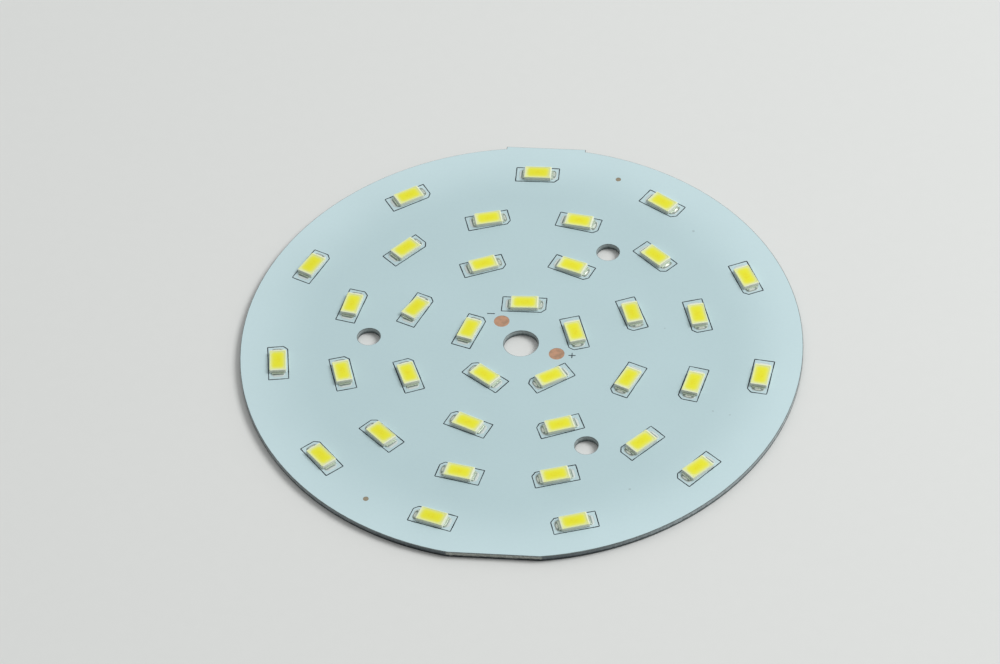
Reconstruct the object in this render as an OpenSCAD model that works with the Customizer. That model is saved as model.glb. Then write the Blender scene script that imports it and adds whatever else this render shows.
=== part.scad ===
// Round lamp board: light-emitting diodes in rings on an aluminium-core circuit board.
// Millimetres. Origin on the wire hole's axis, at the underside of the plate. +Z points to the diodes.

/* [Plate] */
// Diameter of the punched plate
board_d = 100; // [90:1:140]
// Thickness of the aluminium
base_t = 1.1; // [0.8:0.1:3]
// Width of the break-off tab on the back edge
tab_w = 14.7; // [8:0.1:24]
// How far the tab's straight edge stands past the round edge
tab_proud = 0.05; // [0.02:0.01:0.6]
// Depth of the flat on the front edge
flat_depth = 0.63; // [0.3:0.01:1.2]

/* [Holes] */
// Diameter of the wire hole in the middle
wire_hole_d = 6.2; // [4:0.1:9]
// Diameter of each screw hole
screw_hole_d = 4.1; // [3:0.1:5]
// Diameter of the circle that the screw holes lie on
screw_circle_d = 54.5; // [52:0.5:58]
// Number of screw holes
screw_count = 3; // [3:1:4]
// Angle of the first screw hole
screw_angle = 60; // [0:1:120]

/* [Laminate] */
// Thickness of the insulating layer
dielectric_t = 0.075; // [0.05:0.005:0.15]
// Thickness of the copper foil
copper_t = 0.035; // [0.018:0.001:0.105]
// Thickness of solder mask over the copper
mask_cover = 0.03; // [0.015:0.005:0.06]
// How far the mask stays back from the plate's edges and holes
mask_setback = 0.1; // [0.05:0.05:0.4]
// How far the copper stays back from the plate's edges and holes
copper_setback = 1.2; // [0.8:0.1:2]
// Width of the gaps between copper islands
island_gap = 0.6; // [0.3:0.05:0.8]
// Thickness of the printed ink
ink_t = 0.012; // [0.008:0.001:0.03]
// Turn of the printed circuit against the punched plate
pattern_turn = 1.2; // [-3:0.1:3]
// Slip of the printed circuit against the punched plate, along X and Y
pattern_slip = [0, -0.3];

/* [Diode layout] */
// Number of diodes in each ring, from the middle outwards
ring_counts = [5, 8, 12, 11];
// Whether each ring is turned by half a step
ring_half_steps = [0, 1, 1, 0];
// Turn of each ring against the printed circuit
ring_turns = [0.3, 0.5, -0.15, 0];
// Turn of each ring's lands on the spot
land_turns = [-1, -1.6, 1.7, -0.3];
// From the wire hole's edge to the middle of the first ring
inner_margin = 6.8; // [6:0.1:8]
// From the middle of the last ring to the plate's edge
rim_margin = 6.8; // [4:0.1:9]
// Turn of each diode on its lands, as it was soldered, one ring after the other
diode_turns = [
  2, 1, -1, -4, 0.5,
  2.5, 0.5, -8, 0.5, -2, -2.5, -2, -4,
  4, -3.5, 0.5, 2.5, -1, -1.5, 1, -0.5, -1, -0.5, -3.5, 1,
  0, 0, -2.5, -1.5, 1.5, -1.5, 1, -3.5, 0, 1.5, -2.5
];

/* [Diode package] */
// Length of the moulded housing
pkg_l = 5; // [4.6:0.1:5.4]
// Width of the moulded housing
pkg_w = 3; // [2.8:0.1:3.6]
// Height of the moulded housing
pkg_h = 0.7; // [0.5:0.05:1]
// How far the housing's sides lean in from bottom to top
pkg_draft = 0.04; // [0.02:0.01:0.1]
// Width of the rim at the ends of the reflector cup
rim_end = 0.38; // [0.2:0.02:0.5]
// Width of the rim along the sides of the reflector cup
rim_side = 0.2; // [0.15:0.01:0.4]
// Corner radius of the reflector cup
cup_corner = 0.45; // [0.2:0.05:0.7]
// How far the cup's walls lean in from its mouth to its floor
cup_lean = 0.33; // [0.15:0.01:0.4]
// How far the phosphor lies below the rim
fill_recess = 0.03; // [0.01:0.01:0.1]

/* [Leads and chip] */
// Thickness of the leads
lead_t = 0.15; // [0.1:0.01:0.2]
// Width of the leads
lead_w = 2.2; // [1.8:0.1:2.4]
// How far each lead stands out of its end of the housing
lead_reach = 0.35; // [0.2:0.05:0.5]
// Gap between the two leads under the housing
lead_gap = 0.4; // [0.3:0.05:0.6]
// Distance of that gap's middle from the middle of the housing, towards the anode
lead_gap_x = 1.1; // [0.9:0.05:1.3]
// Length of the chip
chip_l = 0.8; // [0.5:0.05:1]
// Width of the chip
chip_w = 0.5; // [0.3:0.05:0.8]
// Height of the chip
chip_h = 0.12; // [0.08:0.01:0.15]
// Distance of the chip from the middle of the housing, towards the cathode
chip_x = 0.1; // [0:0.05:0.2]
// Side of a bond wire's square section
wire_t = 0.04; // [0.03:0.005:0.06]
// Length of a bond wire's flat foot
wire_foot = 0.12; // [0.08:0.01:0.16]
// Height of a bond wire's loop above the straight line between its feet
wire_rise = 0.12; // [0.08:0.01:0.15]

/* [Lands and solder] */
// Width of each diode land
land_w = 2.4; // [2.3:0.1:3]
// How far each land runs on past the end of its lead
land_reach = 0.6; // [0.5:0.05:0.8]
// Size of the chamfers on a land's outer corners
land_chamfer = 0.45; // [0.2:0.05:0.7]
// How far a land's window stays back from the gap between copper islands
land_setback = 0.1; // [0.05:0.05:0.2]
// Thickness of solder between the lands and the leads
solder_t = 0.05; // [0.02:0.01:0.1]
// Length of the solder fillet at the end of each lead
fillet_l = 0.5; // [0.2:0.05:0.5]
// Diameter of each wire land
wire_land_d = 2.8; // [2:0.1:3.2]
// From the wire hole's edge to the middle of each wire land
wire_land_margin = 3.7; // [3:0.1:4.2]
// Turn of each wire land, minus and plus, away from the middle of its gap between diodes
wire_land_turns = [-1.6, 1];
// Diameter of each copper sighting dot
dot_d = 1; // [0.6:0.1:1.6]
// From the middle of each sighting dot to the plate's edge
dot_margins = [4.95, 5.5];
// Angles of the two sighting dots
dot_angles = [70.7, 237.4];

/* [Printed outlines] */
// Length of an outline, at the middle of its line
outline_l = 7.9; // [7.4:0.1:8.6]
// Width of an outline, at the middle of its line
outline_w = 3.55; // [3.4:0.05:4.4]
// Size of the chamfer at the cathode end
outline_chamfer = 0.75; // [0.5:0.05:1.4]
// Width of the printed line
line_w = 0.18; // [0.1:0.02:0.26]
// How far the print stays back from the lands
line_clearance = 0.1; // [0.05:0.01:0.2]
// Slip of the print against the lands, along and across a diode
print_slip = [-0.07, -0.04];

/* [Hidden] */
$fn = 96;
board_r = board_d / 2;
wire_hole_r = wire_hole_d / 2;

// Heights of the layers, from the underside of the plate
z_dielectric = base_t;
z_copper = z_dielectric + dielectric_t;
z_land = z_copper + copper_t;
z_mask = z_land + mask_cover;
z_diode = z_land + max(solder_t, mask_cover);

// Rings of diodes
ring_count = len(ring_counts);
first_ring_r = wire_hole_r + inner_margin;
last_ring_r = board_r - rim_margin;
ring_pitch = (last_ring_r - first_ring_r) / (ring_count - 1);
function ring_r(ring) = first_ring_r + ring * ring_pitch;
function step(ring) = 360 / ring_counts[ring];
function diode_angle(ring, i) = 90 + ring_turns[ring] + (i - ring_half_steps[ring] / 2) * step(ring);

// Radius, angle and turn of the lands of each diode
diodes = [
  for (ring = [0:ring_count - 1])
    for (i = [0:ring_counts[ring] - 1])
      [ring_r(ring), diode_angle(ring, i), land_turns[ring]]
];
diode_count = len(diodes);
function diode_turn(n) = diode_turns[(n - 1) % len(diode_turns)];

// The two wire lands lie in gaps of the first ring: minus after its first diode, plus after its fourth
wire_land_r = wire_hole_r + wire_land_margin;
wire_land_gaps = [0, 3];
function wire_land_angle(i) = 90 + (wire_land_gaps[i] + 1 / 2) * step(0) + wire_land_turns[i];

// Reflector cup, in the housing's own frame
cup_l = pkg_l - 2 * (pkg_draft + rim_end);
cup_w = pkg_w - 2 * (pkg_draft + rim_side);
cup_depth = pkg_h - lead_t;

// Leads along the housing: the anode's is the short one, at -X
lead_end = pkg_l / 2 + lead_reach;
anode_inner = -lead_gap_x - lead_gap / 2;
cathode_inner = -lead_gap_x + lead_gap / 2;

// Lands along the same line, clear of the gap between copper islands
land_end = lead_end + land_reach;
anode_land_inner = lead_gap_x + island_gap / 2 + land_setback;
cathode_land_inner = -lead_gap_x + island_gap / 2 + land_setback;

// Bond wires: feet on the chip's two ends and on the two leads
z_chip_top = lead_t + chip_h;
chip_foot = chip_l / 2 - wire_foot;
anode_foot = anode_inner - wire_foot;
cathode_foot = (chip_x + chip_l / 2 + cup_l / 2 - cup_lean) / 2;
loop_steps = 8;

// Flats that make up each rounded corner of the cup and each solder fillet
corner_steps = 4;
fillet_steps = 6;

function housing_name(n) = str("led_housing_", n < 10 ? "0" : "", n);

// Outline of the punched plate, drawn in by inset along every edge and hole
module board_outline(inset = 0) {
  difference() {
    union() {
      circle(r = board_r - inset);
      translate([inset - tab_w / 2, 0])
        square([tab_w - 2 * inset, board_r + tab_proud - inset]);
    }
    translate([-board_r, -2 * board_r + flat_depth + inset])
      square([board_d, board_r]);
    circle(r = wire_hole_r + inset);
    for (i = [0:screw_count - 1])
      rotate(screw_angle + i * 360 / screw_count)
        translate([screw_circle_d / 2, 0])
          circle(r = screw_hole_d / 2 + inset);
  }
}

// Carries the printed circuit to its place on the plate
module on_print() {
  translate(pattern_slip)
    rotate(pattern_turn)
      children();
}

// Carries what is drawn along +X to diode n's lands, with +Y away from the middle of the board
module at_lands(n) {
  on_print()
    rotate(diodes[n - 1][1] - 90)
      translate([0, diodes[n - 1][0]])
        rotate(diodes[n - 1][2])
          children();
}

// Carries a piece of diode n to its place on the solder
module at_diode(n) {
  at_lands(n)
    translate([0, 0, z_diode])
      rotate(diode_turn(n))
        children();
}

module on_every_diode() {
  for (n = [1:diode_count])
    at_diode(n)
      children();
}

// Leg of a chamfer of that size on an outline that has grown by margin
function grown_chamfer(size, margin) = size + margin * (2 - sqrt(2));

// Rectangle between two places along X, centred across
module strip(from, to, width) {
  translate([from, -width / 2])
    square([to - from, width]);
}

// Corner points of a rectangle l by w, centred, anticlockwise
function rectangle_points(l, w) = [[l, -w], [l, w], [-l, w], [-l, -w]] / 2;

// The same with round corners of radius r
function rounded_points(l, w, r) = [
  for (corner = rectangle_points(l - 2 * r, w - 2 * r))
    for (i = [0:corner_steps])
      let (start = corner.x > 0 ? (corner.y > 0 ? 0 : 270) : (corner.y > 0 ? 90 : 180))
        corner + r * [cos(start + 90 * i / corner_steps), sin(start + 90 * i / corner_steps)]
];

// Solid between two outlines with as many points each, at heights z0 and z1
module loft(lower, upper, z0, z1) {
  n = len(lower);
  polyhedron(
    points = concat(
      [for (p = lower) [p.x, p.y, z0]],
      [for (p = upper) [p.x, p.y, z1]]
    ),
    faces = concat(
      [[for (i = [0:n - 1]) i]],
      [[for (i = [0:n - 1]) 2 * n - 1 - i]],
      [for (i = [0:n - 1]) [i, n + i, n + (i + 1) % n, (i + 1) % n]]
    )
  );
}

// Inside of the reflector cup, from the leads up to recess below its mouth
module cup_inside(recess = 0) {
  lean_back = 2 * cup_lean * recess / cup_depth;
  loft(
    rounded_points(cup_l - 2 * cup_lean, cup_w - 2 * cup_lean, cup_corner),
    rounded_points(cup_l - lean_back, cup_w - lean_back, cup_corner),
    lead_t,
    pkg_h - recess
  );
}

module anode_lead() {
  linear_extrude(lead_t)
    strip(-lead_end, anode_inner, lead_w);
}

module cathode_lead() {
  linear_extrude(lead_t)
    strip(cathode_inner, lead_end, lead_w);
}

module chip() {
  translate([chip_x - chip_l / 2, -chip_w / 2, lead_t])
    cube([chip_l, chip_w, chip_h]);
}

// Height of a bond wire's underside at share t of its span
function loop_z(z0, z1, t) = z0 + (z1 - z0) * t + 4 * wire_rise * t * (1 - t);

// Bond wire from a flat foot on the chip at x0 to one on a lead at x1
module bond_wire(x0, x1) {
  side = sign(x1 - x0);
  under = concat(
    [[x0 - side * wire_foot, z_chip_top]],
    [for (i = [0:loop_steps])
      [x0 + (x1 - x0) * i / loop_steps, loop_z(z_chip_top, lead_t, i / loop_steps)]],
    [[x1 + side * wire_foot, lead_t]]
  );
  over = [for (i = [len(under) - 1:-1:0]) under[i] + [0, wire_t]];
  translate([0, wire_t / 2, 0])
    rotate([90, 0, 0])
      linear_extrude(wire_t)
        polygon(concat(under, over));
}

module bond_wire_pair() {
  bond_wire(chip_x - chip_foot, anode_foot);
  bond_wire(chip_x + chip_foot, cathode_foot);
}

module housing() {
  difference() {
    loft(
      rectangle_points(pkg_l, pkg_w),
      rectangle_points(pkg_l - 2 * pkg_draft, pkg_w - 2 * pkg_draft),
      0,
      pkg_h
    );
    cup_inside();
    anode_lead();
    cathode_lead();
  }
}

module phosphor() {
  difference() {
    cup_inside(fill_recess);
    chip();
    bond_wire_pair();
  }
}

// Hollow solder fillet that climbs the end of a lead
module fillet() {
  hollow = [
    for (i = [0:fillet_steps])
      [
        lead_end + fillet_l * (1 - sin(90 * i / fillet_steps)),
        lead_t * (1 - cos(90 * i / fillet_steps))
      ]
  ];
  translate([0, lead_w / 2, 0])
    rotate([90, 0, 0])
      linear_extrude(lead_w)
        polygon(concat([[lead_end, 0]], hollow));
}

// Plan of a land that starts at inner and runs out along +X, grown by margin
module land(inner, margin) {
  end = land_end + margin;
  half = land_w / 2 + margin;
  c = grown_chamfer(land_chamfer, margin);
  polygon([
    [inner - margin, -half],
    [end - c, -half],
    [end, c - half],
    [end, half - c],
    [end - c, half],
    [inner - margin, half]
  ]);
}

// Plan of one diode's two lands
module land_pair(margin = 0) {
  land(cathode_land_inner, margin);
  rotate(180)
    land(anode_land_inner, margin);
}

// Solder of one diode: a film over each land, and the fillets where they lie over the lands
module solder_pair(turn) {
  linear_extrude(z_diode - z_land)
    land_pair();
  intersection() {
    linear_extrude(z_diode - z_land + lead_t)
      land_pair();
    translate([0, 0, z_diode - z_land])
      rotate(turn)
        for (end = [0, 180])
          rotate(end)
            fillet();
  }
}

// Everything that the mask leaves bare
module mask_windows() {
  for (n = [1:diode_count])
    at_lands(n)
      land_pair();
  for (i = [0:len(wire_land_gaps) - 1])
    on_print()
      rotate(wire_land_angle(i))
        translate([wire_land_r, 0])
          circle(d = wire_land_d);
  for (i = [0:len(dot_angles) - 1])
    on_print()
      rotate(dot_angles[i])
        translate([board_r - dot_margins[i], 0])
          circle(d = dot_d);
}

// Copper islands of one ring: each reaches from one diode's cathode land to the next one's anode land
module ring_islands(ring) {
  is_first = ring == 0;
  is_last = ring == ring_count - 1;
  half_way = (ring_pitch - island_gap) / 2;
  inner_r = is_first ? wire_hole_r + copper_setback : ring_r(ring) - half_way;
  outer_r = is_last ? board_r - copper_setback : ring_r(ring) + half_way;
  difference() {
    circle(r = outer_r);
    circle(r = inner_r);
    for (i = [0:ring_counts[ring] - 1])
      rotate(diode_angle(ring, i) - 90)
        translate([-lead_gap_x - island_gap / 2, inner_r - island_gap])
          square([island_gap, outer_r - inner_r + 2 * island_gap]);
  }
}

module copper_plan() {
  difference() {
    for (ring = [0:ring_count - 1])
      on_print()
        ring_islands(ring);
    for (i = [0:screw_count - 1])
      rotate(screw_angle + i * 360 / screw_count)
        translate([screw_circle_d / 2, 0])
          circle(r = screw_hole_d / 2 + copper_setback);
  }
}

// Printed outline with its chamfer at the inner corner of the cathode end, grown by edge
module outline_plan(edge) {
  l = outline_l / 2 + edge;
  w = outline_w / 2 + edge;
  c = grown_chamfer(outline_chamfer, edge);
  polygon([[-l, -w], [l - c, -w], [l, c - w], [l, w], [-l, w]]);
}

module aluminium_base() {
  color([0.62, 0.64, 0.65])
    linear_extrude(base_t)
      board_outline();
}

module dielectric_layer() {
  color([0.36, 0.38, 0.37])
    translate([0, 0, z_dielectric])
      linear_extrude(dielectric_t)
        board_outline();
}

module copper_foil() {
  color([0.78, 0.57, 0.46])
    translate([0, 0, z_copper])
      linear_extrude(copper_t)
        copper_plan();
}

module solder_mask() {
  color([0.72, 0.81, 0.83])
    union() {
      translate([0, 0, z_copper])
        linear_extrude(copper_t)
          difference() {
            board_outline(mask_setback);
            copper_plan();
          }
      translate([0, 0, z_land])
        linear_extrude(mask_cover)
          difference() {
            board_outline(mask_setback);
            mask_windows();
          }
    }
}

module legend_outlines() {
  color([0.20, 0.22, 0.30])
    translate([0, 0, z_mask])
      linear_extrude(ink_t)
        for (n = [1:diode_count])
          at_lands(n)
            difference() {
              translate(print_slip)
                outline_plan(line_w / 2);
              translate(print_slip)
                outline_plan(-line_w / 2);
              land_pair(line_clearance);
            }
}

module led_housing(n) {
  color([0.93, 0.94, 0.90])
    at_diode(n)
      housing();
}

module anode_leads() {
  color([0.80, 0.80, 0.78])
    on_every_diode()
      anode_lead();
}

module cathode_leads() {
  color([0.80, 0.80, 0.78])
    on_every_diode()
      cathode_lead();
}

module led_chips() {
  color([0.30, 0.45, 0.70])
    on_every_diode()
      chip();
}

module bond_wires() {
  color([0.85, 0.68, 0.30])
    on_every_diode()
      bond_wire_pair();
}

module phosphor_fills() {
  color([0.91, 0.88, 0.20])
    on_every_diode()
      phosphor();
}

module solder_joints() {
  color([0.70, 0.71, 0.72])
    for (n = [1:diode_count])
      at_lands(n)
        translate([0, 0, z_land])
          solder_pair(diode_turn(n));
}

aluminium_base();
dielectric_layer();
copper_foil();
solder_mask();
legend_outlines();
for (n = [1:diode_count])
  led_housing(n);
anode_leads();
cathode_leads();
led_chips();
bond_wires();
phosphor_fills();
solder_joints();
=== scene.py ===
"""Dresses a round lamp board: rings of yellow diodes on a white-masked aluminium plate.

Lengths are in millimetres where nothing else is said. The frame and Blender's meshes are in metres.
"""

import logging
import math
from dataclasses import dataclass, field
from enum import Enum
from typing import Any, Callable, ClassVar, Iterable, Mapping, Optional, Sequence, Union

import bmesh
import bpy
from mathutils import Matrix, Vector


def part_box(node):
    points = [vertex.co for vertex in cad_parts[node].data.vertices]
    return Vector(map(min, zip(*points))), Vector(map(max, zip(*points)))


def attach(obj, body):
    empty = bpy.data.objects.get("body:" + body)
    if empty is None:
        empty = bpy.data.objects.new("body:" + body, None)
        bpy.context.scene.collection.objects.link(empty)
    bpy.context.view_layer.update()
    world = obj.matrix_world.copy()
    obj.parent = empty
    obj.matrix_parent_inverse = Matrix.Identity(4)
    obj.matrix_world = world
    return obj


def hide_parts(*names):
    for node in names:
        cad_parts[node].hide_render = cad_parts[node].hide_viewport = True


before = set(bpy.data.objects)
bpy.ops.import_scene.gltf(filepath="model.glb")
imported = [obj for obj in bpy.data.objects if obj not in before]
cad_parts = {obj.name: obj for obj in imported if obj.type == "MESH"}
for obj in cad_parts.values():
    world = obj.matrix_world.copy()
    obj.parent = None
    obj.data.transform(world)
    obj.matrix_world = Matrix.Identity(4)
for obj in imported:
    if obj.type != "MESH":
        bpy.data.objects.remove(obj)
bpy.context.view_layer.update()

LOG = logging.getLogger("lamp_board")
MM = 0.001

Rgb = tuple[float, float, float]
Span = tuple[float, float]
Spot = tuple[float, float]
Plan = list[Spot]
Profile = tuple[tuple[float, float], ...]
Ring = list[bmesh.types.BMVert]


class Slot(Enum):
    """Material slots of the board's record."""

    ALUMINIUM = "aluminium"
    DIELECTRIC = "dielectric"
    COPPER = "copper"
    MASK = "mask"
    INK = "ink"
    HOUSING = "housing"
    LEAD = "lead"
    CHIP = "chip"
    GOLD = "gold"
    PHOSPHOR = "phosphor"
    SOLDER = "solder"


class End(Enum):
    """The two ends of a diode, as their direction along its length."""

    ANODE = -1
    CATHODE = 1


def srgb(red: int, green: int, blue: int) -> Rgb:
    """Turns a colour as a screen shows it into the linear one that shaders use.

    Args:
        red: Red, from 0 to 255.
        green: Green, from 0 to 255.
        blue: Blue, from 0 to 255.

    Returns:
        The linear colour, each channel from 0 to 1.
    """
    def linear(channel: int) -> float:
        """Linear value of one channel, by the standard curve of screens."""
        share = channel / 255
        return share / 12.92 if share <= 0.04045 else ((share + 0.055) / 1.055) ** 2.4

    return linear(red), linear(green), linear(blue)


class NodeGraph:
    """A node tree that is built node by node."""

    def __init__(self, tree: bpy.types.NodeTree) -> None:
        """Starts from an empty tree."""
        self.tree = tree
        self.tree.nodes.clear()

    def node(
        self,
        kind: str,
        settings: Optional[Mapping[str, Any]] = None,
        inputs: Optional[Mapping[Union[str, int], Any]] = None,
    ) -> bpy.types.Node:
        """Adds one node.

        Args:
            kind: Blender's name for the node type.
            settings: The node's own properties, set before its sockets.
            inputs: What each input socket gets, as feed takes it.

        Returns:
            The new node.
        """
        new = self.tree.nodes.new(kind)
        for name, value in (settings or {}).items():
            setattr(new, name, value)
        for key, value in (inputs or {}).items():
            self.feed(new.inputs[key], value)
        return new

    def feed(self, socket: bpy.types.NodeSocket, value: Any) -> None:
        """Gives a socket a link or a plain value.

        Args:
            socket: The input socket.
            value: A wrapped value, a socket, a node for its first output, a number, a colour or a vector.
        """
        if isinstance(value, Value):
            value = value.socket
        elif isinstance(value, bpy.types.Node):
            value = next(out for out in value.outputs if out.enabled)
        if isinstance(value, bpy.types.NodeSocket):
            self.tree.links.new(value, socket)
        elif socket.type == "RGBA":
            socket.default_value = (*value, 1.0)
        else:
            socket.default_value = value


class Value:
    """A number on a shader's socket, with Python's operators as Math nodes."""

    def __init__(self, graph: NodeGraph, socket: bpy.types.NodeSocket) -> None:
        """Wraps one output socket."""
        self.graph = graph
        self.socket = socket

    def math(self, operation: str, *terms: Any) -> "Value":
        """Adds a Math node on the terms and wraps its result."""
        made = self.graph.node("ShaderNodeMath", {"operation": operation}, dict(enumerate(terms)))
        return Value(self.graph, made.outputs[0])

    def __add__(self, other: Any) -> "Value":
        """Sum."""
        return self.math("ADD", self, other)

    def __radd__(self, other: Any) -> "Value":
        """Sum, from the right."""
        return self.math("ADD", other, self)

    def __sub__(self, other: Any) -> "Value":
        """Difference."""
        return self.math("SUBTRACT", self, other)

    def __rsub__(self, other: Any) -> "Value":
        """Difference, from the right."""
        return self.math("SUBTRACT", other, self)

    def __mul__(self, other: Any) -> "Value":
        """Product."""
        return self.math("MULTIPLY", self, other)

    def __rmul__(self, other: Any) -> "Value":
        """Product, from the right."""
        return self.math("MULTIPLY", other, self)

    def __truediv__(self, other: Any) -> "Value":
        """Quotient."""
        return self.math("DIVIDE", self, other)

    def __rtruediv__(self, other: Any) -> "Value":
        """Quotient, from the right."""
        return self.math("DIVIDE", other, self)

    def __abs__(self) -> "Value":
        """Size without its sign."""
        return self.math("ABSOLUTE", self)

    def least(self, other: Any) -> "Value":
        """The smaller of two values."""
        return self.math("MINIMUM", self, other)

    def most(self, other: Any) -> "Value":
        """The larger of two values."""
        return self.math("MAXIMUM", self, other)

    def hypot(self, other: "Value") -> "Value":
        """Length of the slope over two lengths at a right angle."""
        return self.math("SQRT", self * self + other * other)

    def fade(self, reach: float) -> "Value":
        """Share that dies away from 1 at zero, to about a third at the reach."""
        return self.math("EXPONENT", self * (-1 / reach))

    def sway(self, width: float) -> "Value":
        """A noise from 0 to 1 made to swing about zero, over a width."""
        return (self - 0.5) * width

    def between(self, low: float, high: float) -> "Value":
        """A share from 0 to 1 made to run from low to high."""
        return self * (high - low) + low

    def rise(self, low: float, high: float) -> "Value":
        """Smooth step from 0 at low to 1 at high.

        Args:
            low: Where the step starts.
            high: Where it ends, which may be below low for a step down.

        Returns:
            The step, from 0 to 1.
        """
        ends = {"From Min": min(low, high), "From Max": max(low, high)}
        limits = {"To Min": float(low > high), "To Max": float(low < high)}
        made = self.graph.node(
            "ShaderNodeMapRange",
            {"interpolation_type": "SMOOTHSTEP"},
            {"Value": self, **ends, **limits},
        )
        return Value(self.graph, made.outputs["Result"])


@dataclass(frozen=True)
class Grain:
    """A cloudy noise from about 0 to 1.

    Attributes:
        scale: Clouds in a millimetre.
        detail: Octaves of finer noise on top.
        stretch: Factor along each axis, small for streaks along it.
        roughness: Share of each finer octave.
    """

    scale: float
    detail: float = 2.0
    stretch: tuple[float, float, float] = (1.0, 1.0, 1.0)
    roughness: float = 0.5


class Shader(NodeGraph):
    """One material, ending in a single surface shader."""

    MIX_FACTOR = 0
    MIX_COLOUR_A = 6
    MIX_COLOUR_B = 7
    MIX_COLOUR_OUT = 2

    def __init__(self, name: str, **constants: Any) -> None:
        """Starts a material.

        Args:
            name: The material's name.
            constants: Surface inputs that are the same everywhere, with spaces as underscores.
        """
        self.material = bpy.data.materials.new(name)
        self.material.use_nodes = True
        super().__init__(self.material.node_tree)
        self.surface = self.node("ShaderNodeBsdfPrincipled")
        self.node("ShaderNodeOutputMaterial", inputs={"Surface": self.surface})
        self.paint(**constants)
        metres = self.node("ShaderNodeTexCoord").outputs["Object"]
        self.place = self.scaled(metres, (1 / MM, 1 / MM, 1 / MM))

    def paint(self, **inputs: Any) -> None:
        """Gives the surface shader's inputs their values, with spaces in their names as underscores."""
        for key, value in inputs.items():
            self.feed(self.surface.inputs[key.replace("_", " ").title().replace("Ior", "IOR")], value)

    def scaled(self, vector: bpy.types.NodeSocket, by: Sequence[float]) -> bpy.types.NodeSocket:
        """A vector stretched by a factor along each axis."""
        made = self.node("ShaderNodeVectorMath", {"operation": "MULTIPLY"}, {0: vector, 1: tuple(by)})
        return made.outputs["Vector"]

    def parts(self, vector: bpy.types.NodeSocket) -> tuple[Value, Value, Value]:
        """The x, y and z of a vector."""
        made = self.node("ShaderNodeSeparateXYZ", inputs={"Vector": vector})
        return tuple(Value(self, out) for out in made.outputs)

    def on_board(self) -> tuple[Value, Value, Value]:
        """The x, y and z of a place on the board."""
        return self.parts(self.place)

    def on_diode(self) -> tuple[Value, Value, Value]:
        """The x, y and z of a place on a diode, in the diode's own frame."""
        made = self.node("ShaderNodeAttribute", {"attribute_name": "local"})
        return self.parts(made.outputs["Vector"])

    def tone(self) -> Value:
        """A random value from 0 to 1 for each diode."""
        made = self.node("ShaderNodeAttribute", {"attribute_name": "tone"})
        return Value(self, made.outputs["Fac"])

    def noise(self, grain: Grain) -> Value:
        """Noise at each place on the board.

        Args:
            grain: The noise's sizes.

        Returns:
            The noise, from about 0 to 1.
        """
        made = self.node(
            "ShaderNodeTexNoise",
            inputs={
                "Vector": self.scaled(self.place, grain.stretch),
                "Scale": grain.scale,
                "Detail": grain.detail,
                "Roughness": grain.roughness,
            },
        )
        return Value(self, made.outputs["Fac"])

    def mix(self, one: Any, other: Any, factor: Any, blend: str = "MIX") -> bpy.types.NodeSocket:
        """Mixes two colours.

        Args:
            one: The colour at factor 0.
            other: The colour at factor 1.
            factor: How much of the other.
            blend: The way they mix.

        Returns:
            The mixed colour's socket.
        """
        made = self.node(
            "ShaderNodeMix",
            {"data_type": "RGBA", "blend_type": blend},
            {self.MIX_FACTOR: factor, self.MIX_COLOUR_A: one, self.MIX_COLOUR_B: other},
        )
        return made.outputs[self.MIX_COLOUR_OUT]

    def shaded(self, colour: Any, tone: Value, spread: float) -> bpy.types.NodeSocket:
        """A colour made lighter and darker.

        Args:
            colour: The colour to shade.
            tone: Noise around one half.
            spread: Change of brightness for a change of 1 in the noise.

        Returns:
            The shaded colour's socket.
        """
        level = tone.sway(spread) + 1.0
        grey = self.node("ShaderNodeCombineXYZ", inputs={"X": level, "Y": level, "Z": level})
        return self.mix(colour, grey.outputs["Vector"], 1.0, "MULTIPLY")

    def bump(self, height: Value, depth: float, share: float) -> None:
        """Gives the surface fine relief.

        Args:
            height: Relief from 0 to 1.
            depth: Height of 1.
            share: Share of the relief that shows.
        """
        made = self.node(
            "ShaderNodeBump",
            inputs={"Strength": share, "Distance": depth * MM, "Height": height},
        )
        self.paint(normal=made.outputs["Normal"])


@dataclass(frozen=True)
class Finish:
    """A surface of the board.

    Attributes:
        name: The material's name.
        rough: Roughness where its noise is 0 and where it is 1.
        relief: Depth of its fine relief.
        relief_share: Share of that relief that shows.
    """

    name: str
    rough: Span
    relief: float = 0.0
    relief_share: float = 0.4

    def material(self) -> bpy.types.Material:
        """Makes the finish's material, once."""
        known = bpy.data.materials.get(self.name)
        return known or self.make().material

    def make(self) -> Shader:
        """Builds the shader."""
        raise NotImplementedError


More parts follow.
